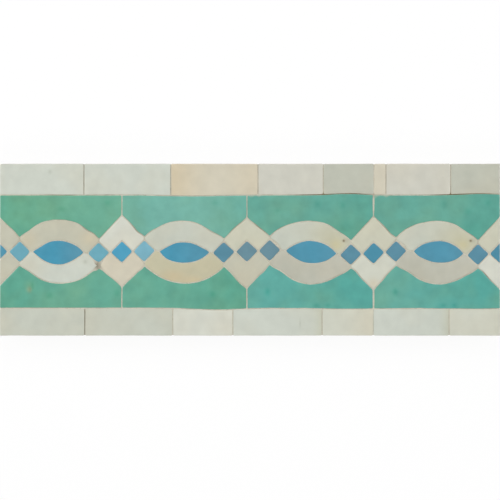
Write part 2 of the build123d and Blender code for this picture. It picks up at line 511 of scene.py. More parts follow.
def flaw_share(points, flaws, kind):
    """How strongly flaws of one kind mark each point, from 0 to 1."""
    share = np.zeros(len(points))
    for what, x, y, along, across, strength in flaws:
        if what == kind:
            away = (((points - (x, y)) / (along, across)) ** 2).sum(axis=1)
            share += strength * np.exp(-away)
    return np.minimum(share, 1)


# What the glaze reads at each vertex: how far the cut edge is in millimetres, the flaws, and which piece
MARKS = ("edge_distance", IRON, STAIN, RUST, POOL, "cut")

# How a piece is cut, in millimetres
END_RUN = 1.5  # stretch at the panel's ends where corners stay sharp
SIDE_MARGIN = 0.2  # nearness to the panel's edge at which a glazed edge stops spreading
PIT_DEPTH = 0.35
CHIP_WIDTH = 1.3
FLANK_RUN = 3.2  # length of one hammer bite down the flanks
# Shares
SHOULDER = 0.35  # of the arris, from the cut edge in and from the rim down
FLANK_LEVELS = (0.2, 0.45, 0.75)  # of the way down the flanks
LINE_PITCH = 0.87  # between lines of the glaze grid, of its step
JITTER = 0.25  # of the grid step, either way
RIM_CLEARANCE = 0.55  # of the grid step
BARE_CHIP = 0.15  # strength of a chip that lays the clay bare
# Offsets that keep the noises of one piece apart, and the pieces from each other
NIBBLES, WAVES, FINE_WAVES, BITES, FLANKS = 50, 90, 130, 170, 300
PIECE_OFFSET = 7.31


class GlazedPiece:
    """One hand-cut piece: glaze on top, rounded arris, bitten clay flanks and the solid's own back."""

    def __init__(self, node, hand, corner, seed):
        self.node = node
        self.seed = seed * PIECE_OFFSET
        self.chance = random.Random(seed)
        self.flaws = FLAWS.get(node, ())
        self.sizes = {name: getattr(hand, name) / MM for name in MosaicHand.__annotations__}
        low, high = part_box(node)
        self.top, self.back_height = high.z / MM, low.z / MM
        step = self.sizes["edge_step"]
        (face,) = loops_at(node, high.z)
        (back,) = loops_at(node, low.z)
        drawn = hand_set(walked(face, step))
        at_end = np.clip(np.abs(drawn[:, :1]) - cad_box[1].x / MM + END_RUN, 0, 1)
        self.edge = self.strayed(drawn * at_end + softened(drawn, step, corner / MM) * (1 - at_end))
        self.back = nearest_on(back[::-1], self.edge)
        self.middle = self.edge.mean(axis=0)
        self.reach = np.abs(self.edge - self.middle).max()
        self.lean = [self.chance.uniform(-1, 1) for _ in range(2)]

    def strayed(self, loop):
        """The edge as cut: it strays inside its line in slow curves and small bites."""
        slow = ripple(loop, self.sizes["wander_run"], self.seed)
        quick = ripple(loop, self.sizes["nibble_run"], self.seed + NIBBLES)
        stray = self.sizes["wander"] * np.clip(0.45 + 0.7 * slow + 0.3 * quick, 0, 1.2)
        beside = np.clip(HALF_PANEL - np.abs(loop) - SIDE_MARGIN, 0, 1)
        # The panel's two ends are sawn straight, and no edge reaches past the panel's sides
        inset = stray * beside[:, 0] - self.sizes["spread"] * beside.min(axis=1)
        for pieces, x, y, along, across, gap in WIDE_JOINTS:
            if self.node.startswith(pieces):
                inset += gap * np.exp(-(((loop - (x, y)) / (along, across)) ** 4).sum(axis=1))
        edge = drawn_in(loop, inset)
        return edge[fresh(edge)]

    def glaze_height(self, points):
        """Height of the glaze: slow waves and a slight lean, never above the solid's top."""
        waves = ripple(points, self.sizes["swell_run"], self.seed + WAVES)
        fine = ripple(points, self.sizes["swell_run"] / 4, self.seed + FINE_WAVES)
        lean = ((points - self.middle) / self.reach) @ np.array(self.lean)
        set_low = self.sizes["lippage"] * (0.5 - 0.35 * lean)
        low = set_low + self.sizes["swell"] * (0.8 - 0.6 * waves - 0.2 * fine)
        pits = PIT_DEPTH * flaw_share(points, self.flaws, PIT)
        return self.top - np.maximum(low, 0) - pits

    def rings(self):
        """Rings of points from the glaze rim down to the back, with heights and edge distances."""
        width, drop = self.sizes["arris_width"], self.sizes["arris_drop"]
        into = inward(self.edge)
        bite = np.clip(ripple(self.edge, self.sizes["nibble_run"], self.seed + BITES) - 0.25, 0, 1)
        chip = CHIP_WIDTH * flaw_share(self.edge, self.flaws, CHIP) + 0.8 * bite * self.sizes["wander"]
        rim = drawn_in(self.edge, width + chip)
        shoulder = drawn_in(self.edge, SHOULDER * width + 0.5 * chip)
        rim_height = self.glaze_height(rim)
        yield rim, rim_height, width
        yield shoulder, rim_height - SHOULDER * drop - 0.25 * chip, SHOULDER * width
        head = rim_height - drop
        yield self.edge, head, 0.0
        for share in FLANK_LEVELS:
            rough = np.clip(ripple(self.edge, FLANK_RUN, self.seed + FLANKS * share) + 0.4, 0, 1)
            place = self.edge + share * (self.back - self.edge)
            bitten = place + into * (self.sizes["flank_bite"] * rough)[:, None]
            yield bitten, head + share * (self.back_height - head), 0.0
        yield self.back, np.full(len(self.back), self.back_height), 0.0

    def inside(self, rim):
        """Points of a jittered grid inside the rim, clear of it by about half a step."""
        step = self.sizes["grid_step"]
        low, high = rim.min(axis=0), rim.max(axis=0)
        columns = np.arange(low[0], high[0], step)
        lines = np.arange(low[1], high[1], step * LINE_PITCH)
        most = JITTER * step
        points = []
        for number, y in enumerate(lines):
            for x in columns + (number % 2) * step / 2:
                along = self.chance.uniform(-most, most)
                across = self.chance.uniform(-most, most)
                points.append((x + along, y + across))
        points = np.array(points)
        points = points[within(rim, points)]
        if not len(points):
            return points.reshape(0, 2)
        away = np.linalg.norm(points - nearest_on(rim, points), axis=1)
        return points[away > RIM_CLEARANCE * step]

    def mesh(self, glaze, clay):
        """Closed mesh of the piece, with the marks that its materials read."""
        rings = list(self.rings())
        rim = rings[0][0]
        count = len(rim)
        corners = fresh(rim)
        turn = (np.cumsum(corners) - 1) % corners.sum()
        flat = [Vector(point) for point in np.vstack([rim[corners], self.inside(rim[corners])])]
        border = list(range(corners.sum()))
        filled = geometry.delaunay_2d_cdt(flat, [], [border], 1, TRIANGLE_TOLERANCE)
        places, _, triangles, origins, _, _ = filled
        places = np.array([tuple(p) for p in places])
        found = {origin: number for number, group in enumerate(origins) for origin in group}
        heights = self.glaze_height(places)
        away = np.linalg.norm(places - nearest_on(self.edge, places), axis=1)

        shape = bmesh.new()
        marks = [shape.verts.layers.float.new(name) for name in MARKS]
        away *= 1 - flaw_share(places, self.flaws, WORN)
        tints = [flaw_share(places, self.flaws, kind) for kind in (IRON, STAIN, RUST, POOL)]

        def point(place, height, *values):
            vert = shape.verts.new((place[0] * MM, place[1] * MM, height * MM))
            for mark, value in zip(marks, (*values, self.seed)):
                vert[mark] = value
            return vert

        top = [point(*spot) for spot in zip(places, heights, away, *tints)]
        for triangle in triangles:
            shape.faces.new([top[i] for i in triangle])
        upper = [top[found[i]] for i in turn]
        chips = flaw_share(self.edge, self.flaws, CHIP)
        for level, (ring, ring_height, distance) in enumerate(rings[1:]):
            lower = [point(p, h, distance, 0, 0, 0, 0) for p, h in zip(ring, ring_height)]
            for i in range(count):
                after = (i + 1) % count
                face = shape.faces.new(dict.fromkeys((upper[i], lower[i], lower[after], upper[after])))
                bare = level > 1 or chips[i] > BARE_CHIP
                face.material_index = 1 if bare else 0
            upper = lower
        back = shape.faces.new(upper[::-1])
        back.material_index = 1
        bmesh.ops.remove_doubles(shape, verts=upper, dist=2 * MERGE)
        bmesh.ops.dissolve_degenerate(shape, edges=shape.edges, dist=MERGE / 2)
        for face in shape.faces:
            face.smooth = face.material_index == 0
        mesh = bpy.data.meshes.new(f"glazed_{self.node}")
        shape.to_mesh(mesh)
        shape.free()
        mesh.materials.append(glaze)
        mesh.materials.append(clay)
        return mesh


# Materials


def put(tree, kind, values=None, **settings):
    """Adds a node. Settings are its own properties; values feed its inputs with numbers or other sockets."""
    made = tree.nodes.new(kind)
    for name, value in settings.items():
        setattr(made, name, value)
    for socket, value in (values or {}).items():
        if isinstance(value, bpy.types.NodeSocket):
            tree.links.new(value, made.inputs[socket])
        else:
            made.inputs[socket].default_value = value
    return made


def blank(name):
    """New node material with only its output, or None where the material is made already."""
    if name in bpy.data.materials:
        return None
    material = bpy.data.materials.new(name)
    material.use_nodes = True
    material.node_tree.nodes.clear()
    return material


def opaque(rgb):
    """Colour with full alpha, as node sockets take it."""
    return (*rgb, 1.0)


def per_metre(millimetres):
    """Texture scale that gives a feature of a real size on Object coordinates."""
    return 1 / (millimetres * MM)


# Inputs of a Map Range node: a value, its range and the span that the range is carried over to
SPAN = ("Value", "From Min", "From Max", "To Min", "To Max")
# Inputs of a Mix node for colours: share of the upper colour, lower colour and upper colour
LAYER = (0, 6, 7)
LAYERED = 2  # its output

# Sizes of what the materials show, in millimetres
CLOUD, BLOTCH, WEAR, PINHOLE_SPACING = 30, 9, 6, 10
MINERAL_CLOUD, CLAY_GRAIN, MORTAR_GRAIN, SAND_GRAIN = 9, 0.9, 0.7, 1.5


def glaze_material(tone, slot, tones):
    """Tin glaze fired on clay: slow clouds, soft blotches, a few pinholes and an edge worn to the clay."""
    name = f"tin_glaze_{tone}"
    material = blank(name)
    if material is None:
        return bpy.data.materials[name]
    tree = material.node_tree
    place = put(tree, "ShaderNodeTexCoord").outputs["Object"]
    marks = {mark: put(tree, "ShaderNodeAttribute", attribute_name=mark).outputs["Fac"] for mark in MARKS}
    thin, thin_most, mottle = DRIFT[slot]
    # Noises of real sizes that are different on every piece
    noises = {}
    for size in (CLOUD, BLOTCH, WEAR):
        values = {"Vector": place, "W": marks["cut"], "Scale": per_metre(size), "Detail": 2.0}
        noises[size] = put(tree, "ShaderNodeTexNoise", values, noise_dimensions="4D").outputs["Fac"]

    # Clouds of thin and thick glaze, and the stains and rust washed out of the clay
    thinning = dict(zip(SPAN, (noises[CLOUD], 0.42, 0.72, 0.0, thin_most)))
    clouds = put(tree, "ShaderNodeMapRange", thinning).outputs[0]
    thinned = put(tree, "ShaderNodeMath", {0: clouds, 1: marks[STAIN]}, operation="MAXIMUM").outputs[0]
    surface = opaque(getattr(tones, tone))
    for share, stain in ((thinned, getattr(tones, thin)), (marks[RUST], tones.ochre)):
        layer = dict(zip(LAYER, (share, surface, opaque(stain))))
        surface = put(tree, "ShaderNodeMix", layer, data_type="RGBA").outputs[LAYERED]

    # Blotches a little lighter or darker, and a deeper tone where the glaze pooled
    mottling = dict(zip(SPAN, (noises[BLOTCH], 0.3, 0.7, 1 - mottle, 1 + 0.8 * mottle)))
    shade = put(tree, "ShaderNodeMapRange", mottling).outputs[0]
    darker = put(tree, "ShaderNodeMapRange", dict(zip(SPAN, (marks[POOL], 0.0, 1.0, 1.0, 0.84)))).outputs[0]
    richer = put(tree, "ShaderNodeMapRange", dict(zip(SPAN, (marks[POOL], 0.0, 1.0, 1.0, 1.2)))).outputs[0]
    pooled = put(tree, "ShaderNodeMath", {0: shade, 1: darker}, operation="MULTIPLY").outputs[0]
    deeper = {"Saturation": richer, "Value": pooled, "Color": surface}
    surface = put(tree, "ShaderNodeHueSaturation", deeper).outputs[0]

    # Pinholes, about one to a square of their spacing
    scattered = {"Vector": place, "W": marks["cut"], "Scale": per_metre(PINHOLE_SPACING), "Randomness": 1.0}
    holes = put(tree, "ShaderNodeTexVoronoi", scattered, voronoi_dimensions="4D").outputs["Distance"]
    pricked = put(tree, "ShaderNodeMapRange", dict(zip(SPAN, (holes, 0.03, 0.06, 0.4, 0.0)))).outputs[0]

    # Edge worn thin over a tenth to most of a millimetre, and iron spots
    widening = dict(zip(SPAN, (noises[WEAR], 0.35, 0.7, 0.1, 0.7)))
    wear_width = put(tree, "ShaderNodeMapRange", widening).outputs[0]
    wearing = dict(zip(SPAN, (marks["edge_distance"], 0.0, wear_width, 0.35, 0.0)))
    worn = put(tree, "ShaderNodeMapRange", wearing).outputs[0]
    for share, stain in ((pricked, tones.iron), (worn, tones.bare_edge), (marks[IRON], tones.iron)):
        layer = dict(zip(LAYER, (share, surface, opaque(stain))))
        surface = put(tree, "ShaderNodeMix", layer, data_type="RGBA").outputs[LAYERED]

    glossing = dict(zip(SPAN, (noises[BLOTCH], 0.3, 0.7, 0.2, 0.26)))
    gloss = put(tree, "ShaderNodeMapRange", glossing).outputs[0]
    waved = {"Strength": 0.12, "Distance": 0.2 * MM, "Height": noises[WEAR]}
    bump = put(tree, "ShaderNodeBump", waved).outputs[0]
    finish = {"Base Color": surface, "Roughness": gloss, "IOR": 1.5, "Normal": bump}
    shader = put(tree, "ShaderNodeBsdfPrincipled", finish)
    put(tree, "ShaderNodeOutputMaterial", {"Surface": shader.outputs[0]})
    return material


def grainy_material(name, base, dark, spot, grain, roughness, **stains_and_shade):
    """Dry mineral surface: cloudy body, grains, a rough skin, and stains laid on by marks of their names; in
    the mortar one of these marks is partly painted shade.
    """
    material = blank(name)
    if material is None:
        return bpy.data.materials[name]
    tree = material.node_tree
    place = put(tree, "ShaderNodeTexCoord").outputs["Object"]
    drifting = {"Vector": place, "Scale": per_metre(MINERAL_CLOUD), "Detail": 4.0}
    clouds = put(tree, "ShaderNodeTexNoise", drifting).outputs["Fac"]
    grains = put(tree, "ShaderNodeTexVoronoi", {"Vector": place, "Scale": per_metre(grain)}).outputs
    dulled = put(tree, "ShaderNodeMapRange", dict(zip(SPAN, (clouds, 0.4, 0.75, 0.0, 0.4)))).outputs[0]
    specked = dict(zip(SPAN, (grains["Color"], 0.6, 0.95, 0.0, 0.5)))
    layers = [(dulled, dark), (put(tree, "ShaderNodeMapRange", specked).outputs[0], spot)]
    for mark, stain in stains_and_shade.items():
        layers.append((put(tree, "ShaderNodeAttribute", attribute_name=mark).outputs["Fac"], stain))
    surface = opaque(base)
    for share, tone in layers:
        layer = dict(zip(LAYER, (share, surface, opaque(tone))))
        surface = put(tree, "ShaderNodeMix", layer, data_type="RGBA").outputs[LAYERED]
    rough = {"Strength": 0.4, "Distance": 0.4 * grain * MM, "Height": grains["Distance"]}
    bump = put(tree, "ShaderNodeBump", rough).outputs[0]
    finish = {"Base Color": surface, "Roughness": roughness, "Normal": bump}
    shader = put(tree, "ShaderNodeBsdfPrincipled", finish)
    put(tree, "ShaderNodeOutputMaterial", {"Surface": shader.outputs[0]})
    return material


def clay_material(tones):
    """Fired clay broken by the hammer: buff, dry and a little cloudy."""
    return grainy_material("fired_clay", tones.clay, tones.bare_edge, tones.mortar, CLAY_GRAIN, 0.9)


def mortar_material(tones):
    """Lime mortar with river sand: pale, matt and gritty, darker where dirt lies in the joints and where
    shade is painted into the open joints between listels.
    """
    body = (tones.mortar, tones.bare_edge, tones.grit_and_shade, MORTAR_GRAIN)
    # The dirt mark is dirt in most joints, and painted shade as well in the open joints between listels
    return grainy_material("lime_mortar", *body, 0.95, dirt=tones.grit_and_shade, earth=tones.earth)


def sand_material(tones):
    """Grains of river sand that stand out of the mortar, a little glassier than it is."""
    return grainy_material("river_sand", tones.mortar, tones.clay, tones.grit_and_shade, SAND_GRAIN, 0.7)


# Mortar

# Joints between listels that the pointing has left open: how dark each is painted, for dirt and for the
# shade in the open joint, left to right
OPEN_JOINTS = {
    "listel_upper": (0.7, 0.5, 0.4, 0.35, 0.0, 0.45, 0.4),
    "listel_lower": (0.95, 0.2, 0.15, 0.2, 0.0, 0.2),
}
# Dirt in other joints: where in millimetres from the panel's middle, its reach along and across, and how
# strong it is
DIRT_SPOTS = (
    (-123.0, -13.0, 2.6, 3.6, 1.1),
    (-63.6, 49.1, 1.4, 1.6, 1.0),
    (-2.5, 34.0, 2.0, 9.0, 0.4),
    # Upper edge of the motif, left to right
    (-132.0, 15.0, 11.0, 8.0, 0.5),
    (-91.0, 16.0, 11.0, 8.0, 0.55),
    (-30.0, 14.0, 11.0, 8.0, 0.3),
    (-10.0, 18.0, 10.0, 9.0, 0.5),
    (10.0, 18.0, 11.0, 9.0, 0.6),
    (91.0, 17.0, 10.0, 9.0, 0.3),
    (111.0, 17.0, 11.0, 9.0, 0.5),
    (192.0, 17.0, 10.0, 9.0, 0.3),
    # Lower edge of the motif, left to right
    (10.0, -20.0, 10.0, 9.0, 0.3),
    (71.0, -20.0, 10.0, 8.0, 0.35),
    (91.0, -20.0, 10.0, 9.0, 0.4),
    (111.0, -20.0, 10.0, 9.0, 0.3),
    (172.0, -20.0, 10.0, 8.0, 0.35),
    (192.0, -20.0, 10.0, 9.0, 0.55),
)
# Earth along the joint between the field and the upper listels: where, its reach along it and how strong
EARTH_RUNS = ((-152.0, 14.0, 0.5), (-90.0, 60.0, 0.2), (70.0, 30.0, 0.9), (172.0, 30.0, 0.9))
EARTH_LINE = 43.7  # how far up the panel that joint runs
EARTH_REACH = 2.5  # how far the earth goes across it
LISTEL_REACH = 2.0  # how far an open joint's dirt and painted shade go across it
LISTEL_ENDS = 0.6  # how far that dirt and painted shade keep from the joint's ends
SCATTERED_DIRT = 0.35  # most dirt in the joints that nothing else is said of
BELOW_SHARE = 0.4  # of that dirt in the panel's lower half

# The mortar's other sizes, in millimetres
SLAB_GAP = 0.02  # between the slab and the backs of the pieces
WEB_SINK = 1.0  # how deep the web's foot stands in the slab
POINTING_BORDER = (0.15, 0.5)  # how far the pointing stands back from the panel's ends and sides
TUCK_MARGIN = 0.3  # nearness to the panel's edge at which the pointing isn't tucked under
POINTING_DEPTH = 2.0  # underside of the pointing below the glaze
SHALLOWEST = 0.1  # least that the pointing lies below the glaze
# Plain numbers
WEB_SHARE = 0.99  # length and width of the web's foot, of the bed's own
MORTAR_OFFSET = 11.3  # between the noises of two seeds


def joint_dirt_and_shade(points):
    """How dirty and open the joint is at each point, from 0 to 1, with painted shade in the open joints
    between listels.
    """
    share = np.clip(ripple(points, 15, 3.7) + 0.5 * ripple(points, 3, 8.1) - 0.22, 0, SCATTERED_DIRT)
    share *= np.where(points[:, 1] > 0, 1, BELOW_SHARE)
    for row, amounts in OPEN_JOINTS.items():
        for number, amount in enumerate(amounts, start=1):
            low, high = (np.array(corner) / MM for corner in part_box(f"{row}_{number}"))
            beside = np.abs(points[:, 0] - high[0]) < LISTEL_REACH
            along = (points[:, 1] > low[1] + LISTEL_ENDS) & (points[:, 1] < high[1] - LISTEL_ENDS)
            # The open joints between listels get painted shade along with their dirt
            share = np.where(beside & along, amount * (1 + 0.4 * ripple(points, 5, 1.9)), share)
    for x, y, along, across, amount in DIRT_SPOTS:
        away = (((points - (x, y)) / (along, across)) ** 2).sum(axis=1)
        share = np.maximum(share, amount * np.exp(-away))
    return np.minimum(share, 1)


def joint_earth(points):
    """How much earth lies in the joint at each point, from 0 to 1."""
    share = np.zeros(len(points))
    for x, along, amount in EARTH_RUNS:
        share = np.maximum(share, amount * np.exp(-(((points[:, 0] - x) / along) ** 4)))
    beside = np.exp(-(((points[:, 1] - EARTH_LINE) / EARTH_REACH) ** 4))
    return beside * np.clip(share + 0.3 * ripple(points, 12, 5.5), 0, 1)


class MortarBed:
    """Mortar under and between the pieces: a rough slab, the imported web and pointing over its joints."""

    def __init__(self, pieces, mortar):
        self.pieces = pieces
        names = ("step", "joint_depth", "joint_wave", "joint_floor", "tuck", "side_bite")
        self.sizes = {name: getattr(mortar, name) / MM for name in names}
        self.seed = mortar.seed * MORTAR_OFFSET
        self.shape = bmesh.new()
        # The dirt mark carries painted shade as well in the open joints between listels
        self.marks = [self.shape.verts.layers.float.new(name) for name in ("dirt", "earth")]
        self.seen = []
        (under,) = loops_at("mortar_bed", 0.0)
        self.outline = walked(under[::-1], self.sizes["step"])
        self.back = min(piece.back_height for piece in pieces)

    def points(self, places, heights, *amounts):
        """New vertices at places and heights in millimetres, with how much dirt (painted shade as well in
        the open listel joints) and earth lies on them.
        """
        made = [self.shape.verts.new((x * MM, y * MM, z * MM)) for (x, y), z in zip(places, heights)]
        for mark, shares in zip(self.marks, amounts):
            for vert, share in zip(made, shares):
                vert[mark] = share
        return made

    def web(self):
        """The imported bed, its bottom drawn up inside the rough slab that stands for it."""
        self.shape.from_mesh(NODES["mortar_bed"].data)
        bmesh.ops.remove_doubles(self.shape, verts=self.shape.verts, dist=MERGE)
        for vert in self.shape.verts:
            if vert.co.z < MM:
                vert.co.z = (self.back - WEB_SINK) * MM
                vert.co.xy *= WEB_SHARE

    def slab(self):
        """Slab under the pieces, its sides broken and crumbled."""
        into = inward(self.outline)
        rows = []
        for height in np.arange(0, self.back + 0.01, self.sizes["step"]):
            coarse = ripple(self.outline + 3 * height, 6, self.seed + 0.3 * height)
            fine = ripple(self.outline, 1.7, self.seed + 40 + height)
            bite = self.sizes["side_bite"] * np.clip(0.4 + 0.8 * coarse + 0.5 * fine, 0, 1.4)
            level = min(height, self.back - SLAB_GAP)
            rows.append(self.points(self.outline + into * bite[:, None], np.full(len(bite), level)))
        count = len(self.outline)
        for lower, upper in zip(rows, rows[1:]):
            for i in range(count):
                after = (i + 1) % count
                self.seen.append(self.shape.faces.new((lower[i], lower[after], upper[after], upper[i])))
        self.shape.faces.new(rows[0][::-1])
        self.shape.faces.new(rows[-1])

    def pointing(self):
        """Mortar brushed into the joints, tucked under the glaze edges all round."""
        # The joints run out to the edges of the panel, and the pointing with them
        border = self.outline * ((HALF_PANEL - POINTING_BORDER) / self.outline.max(axis=0))
        hidden = []
        for piece in self.pieces:
            beside = np.clip(HALF_PANEL - np.abs(piece.edge) - TUCK_MARGIN, 0, 1)
            loop = drawn_in(piece.edge, self.sizes["tuck"] * beside.min(axis=1))[::2]
            hidden.append(loop[fresh(loop)])
        places, lines = [], []
        for loop in (border, *hidden):
            start, count = len(places), len(loop)
            lines += [(start + i, start + (i + 1) % count) for i in range(count)]
            places.extend(loop)
        for piece in self.pieces:
            places.extend(piece.edge[1::2])
        flat = [Vector(place) for place in places]
        places, _, triangles, _, _, _ = geometry.delaunay_2d_cdt(flat, lines, [], 0, TRIANGLE_TOLERANCE)
        places = np.array([tuple(place) for place in places])
        middles = places[np.array(triangles)].mean(axis=1)
        open_joint = within(border, middles)
        for loop in hidden:
            open_joint &= ~within(loop, middles)
        joints = [triangle for triangle, kept in zip(triangles, open_joint) if kept]
        used = sorted({i for triangle in joints for i in triangle})
        order = {i: number for number, i in enumerate(used)}
        spots = places[used]
        # The dirt mark, painted shade as well in the open listel joints, also makes those joints deeper
        dirt, earth = joint_dirt_and_shade(spots), joint_earth(spots)
        wave = ripple(spots, 7, self.seed + 80) + 0.5 * ripple(spots, 1.5, self.seed + 90)
        depth = self.sizes["joint_depth"] + self.sizes["joint_wave"] * wave
        open_depth = self.sizes["joint_floor"] * np.minimum(1, 1.6 * np.maximum(dirt, earth))
        depth = np.clip(np.maximum(depth, open_depth), SHALLOWEST, self.sizes["joint_floor"])
        upper = self.points(spots, GLAZE_TOP / MM - depth, dirt, earth)
        lower = self.points(spots, np.full(len(spots), GLAZE_TOP / MM - POINTING_DEPTH))
        sides = set()
        for triangle in joints:
            corners = [order[i] for i in triangle]
            self.seen.append(self.shape.faces.new([upper[i] for i in corners]))
            self.shape.faces.new([lower[i] for i in reversed(corners)])
            sides |= set(zip(corners, corners[1:] + corners[:1]))
        for a, b in sides:
            if (b, a) not in sides:
                self.shape.faces.new((upper[a], lower[a], lower[b], upper[b]))

    def meshes(self):
        """The whole mortar, and the part of its surface that sand shows on."""
        self.web()
        self.slab()
        self.pointing()
        mortar = bpy.data.meshes.new("mortar")
        self.shape.to_mesh(mortar)
        shown = set(self.seen)
        unseen = [face for face in self.shape.faces if face not in shown]
        bmesh.ops.delete(self.shape, geom=unseen, context="FACES")
        ground = bpy.data.meshes.new("sand_ground")
        self.shape.to_mesh(ground)
        self.shape.free()
        return mortar, ground


SQUARE_CENTIMETRE = 0.01**2
FULL_TURN = (6.3, 6.3, 6.3)  # radians about each axis
SMALLEST_GRAIN, LARGEST_GRAIN = (0.2, 0.2, 0.15), (0.6, 0.6, 0.4)  # of a grain's width, each way


def sand_tree(material):
    """Geometry Nodes tree that strews grains over a surface: flat-sided lumps of random size and turn."""
    tree = bpy.data.node_groups.new("strewn_sand", "GeometryNodeTree")
    kinds = {"Ground": "Geometry", "Grains": "Float", "Grain": "Float", "Seed": "Int"}
    sockets = {
        name: tree.interface.new_socket(name, in_out="INPUT", socket_type=f"NodeSocket{kind}")
        for name, kind in kinds.items()
    }
    tree.interface.new_socket("Sand", in_out="OUTPUT", socket_type="NodeSocketGeometry")
    given = put(tree, "NodeGroupInput").outputs
    strewing = {"Mesh": given["Ground"], "Density": given["Grains"], "Seed": given["Seed"]}
    strewn = put(tree, "GeometryNodeDistributePointsOnFaces", strewing)
    lump = put(tree, "GeometryNodeMeshIcoSphere", {"Radius": given["Grain"], "Subdivisions": 1})
    turning = {"Min": (0, 0, 0), "Max": FULL_TURN, "Seed": given["Seed"]}
    turn = put(tree, "FunctionNodeRandomValue", turning, data_type="FLOAT_VECTOR")
    sizing = {"Min": SMALLEST_GRAIN, "Max": LARGEST_GRAIN, "Seed": given["Seed"]}
    size = put(tree, "FunctionNodeRandomValue", sizing, data_type="FLOAT_VECTOR")
    grains = {
        "Points": strewn.outputs["Points"],
        "Instance": lump.outputs["Mesh"],
        "Rotation": turn.outputs[0],
        "Scale": size.outputs[0],
    }
    lumps = put(tree, "GeometryNodeInstanceOnPoints", grains)
    real = put(tree, "GeometryNodeRealizeInstances", {"Geometry": lumps.outputs["Instances"]})
    dressing = {"Geometry": real.outputs["Geometry"], "Material": material}
    dressed = put(tree, "GeometryNodeSetMaterial", dressing)
    put(tree, "NodeGroupOutput", {"Sand": dressed.outputs["Geometry"]})
    return tree, {name: socket.identifier for name, socket in sockets.items()}


def strewn_sand(ground, mortar, material):
    """Plain mesh of the sand grains that show on a surface."""
    tree, names = sand_tree(material)
    holder = bpy.data.objects.new("sand_ground", ground)
    bpy.context.scene.collection.objects.link(holder)
    strewing = holder.modifiers.new("strewn_sand", "NODES")
    strewing.node_group = tree
    strewing[names["Grains"]] = mortar.grains / SQUARE_CENTIMETRE
    strewing[names["Grain"]] = mortar.grain
    strewing[names["Seed"]] = mortar.seed
    evaluated = holder.evaluated_get(bpy.context.evaluated_depsgraph_get())
    sand = bpy.data.meshes.new_from_object(evaluated)
    sand.name = "mortar_sand"
    holder.modifiers.remove(strewing)
    bpy.data.objects.remove(holder)
    bpy.data.meshes.remove(ground)
    return sand


# Pieces


def seat(mesh, slot, node=None):
    """Puts a finished mesh on the panel, in place of a solid where one is named."""
    piece = bpy.data.objects.new(mesh.name, mesh)
    bpy.context.scene.collection.objects.link(piece)
    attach(piece, "root")
    if node:
        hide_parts(node)


CUT = []  # glazed pieces in the order they were cut; the mortar is pointed round them


def cut_pieces(context, rows, slot, corner=None):
    """Cuts and glazes every piece of the named rows."""
    tones, hand = context.scene.mosaic_tones, context.scene.mosaic_hand
    clay = clay_material(tones)
    for row, row_tones in rows.items():
        for number, tone in enumerate(row_tones, start=1):
            node = f"{row}_{number}"
            seed = sorted(NODES).index(node) + 1
            piece = GlazedPiece(node, hand, corner or hand.corner, seed)
            seat(piece.mesh(glaze_material(tone, slot, tones), clay), slot, node)
            CUT.append(piece)


class MOSAIC_OT_listels(bpy.types.Operator):
    """Cuts the plain white listels along both edges"""

    bl_idname = "mosaic.listels"
    bl_label = "Listels"

    def execute(self, context):
        cut_pieces(context, LISTEL_TONES, WHITE)
        return {"FINISHED"}


class MOSAIC_OT_fields(bpy.types.Operator):
    """Cuts the green ground pieces"""

    bl_idname = "mosaic.fields"
    bl_label = "Fields"

    def execute(self, context):
        cut_pieces(context, FIELD_TONES, GREEN)
        return {"FINISHED"}


class MOSAIC_OT_bands(bpy.types.Operator):
    """Cuts the white bands round the lenses"""

    bl_idname = "mosaic.bands"
    bl_label = "Bands"

    def execute(self, context):
        cut_pieces(context, BAND_TONES, WHITE)
        return {"FINISHED"}


class MOSAIC_OT_chevrons(bpy.types.Operator):
    """Cuts the white chevrons of the diamonds"""

    bl_idname = "mosaic.chevrons"
    bl_label = "Chevrons"

    def execute(self, context):
        cut_pieces(context, CHEVRON_TONES, WHITE)
        return {"FINISHED"}


class MOSAIC_OT_lenses(bpy.types.Operator):
    """Cuts the blue lenses"""

    bl_idname = "mosaic.lenses"
    bl_label = "Lenses"

    def execute(self, context):
        cut_pieces(context, LENS_TONES, BLUE, context.scene.mosaic_hand.lens_corner)
        return {"FINISHED"}


class MOSAIC_OT_squares(bpy.types.Operator):
    """Cuts the small blue squares"""

    bl_idname = "mosaic.squares"
    bl_label = "Squares"

    def execute(self, context):
        cut_pieces(context, SQUARE_TONES, BLUE, context.scene.mosaic_hand.square_corner)
        return {"FINISHED"}


class MOSAIC_OT_mortar(bpy.types.Operator):
    """Beds the pieces in mortar, points their joints and strews the sand that shows"""

    bl_idname = "mosaic.mortar"
    bl_label = "Mortar"

    def execute(self, context):
        if not CUT:
            raise RuntimeError("The mortar is pointed round the pieces, so they are cut first")
        tones, mortar = context.scene.mosaic_tones, context.scene.mosaic_mortar
        bed, ground = MortarBed(CUT, mortar).meshes()
        bed.materials.append(mortar_material(tones))
        seat(bed, "mortar", "mortar_bed")
        seat(strewn_sand(ground, mortar, sand_material(tones)), "mortar")
        return {"FINISHED"}


# The stage's other sizes, in metres apart from the camera's sensor in millimetres
SENSOR = 36.0
FARTHEST = 20.0  # that the camera sees
HALF_PAPER = 3.0
PAPER_HEIGHT = -0.2 * MM  # just under the roughest of the mortar
PAPER_GLOW = 0.92  # share of the paper that is seen lit evenly, with no shadow
LAMP_SIZE, LAMP_HEIGHT = 0.7, 1.0
# Each lamp's place along and across the panel, and its share of the strength
LAMPS = {
    "lamp_left": (-1.0, 0.35, 1.15),
    "lamp_right": (1.0, 0.35, 0.95),
    "lamp_near": (0.0, -1.05, 0.98),
    "lamp_far": (0.0, 1.05, 1.04),
}


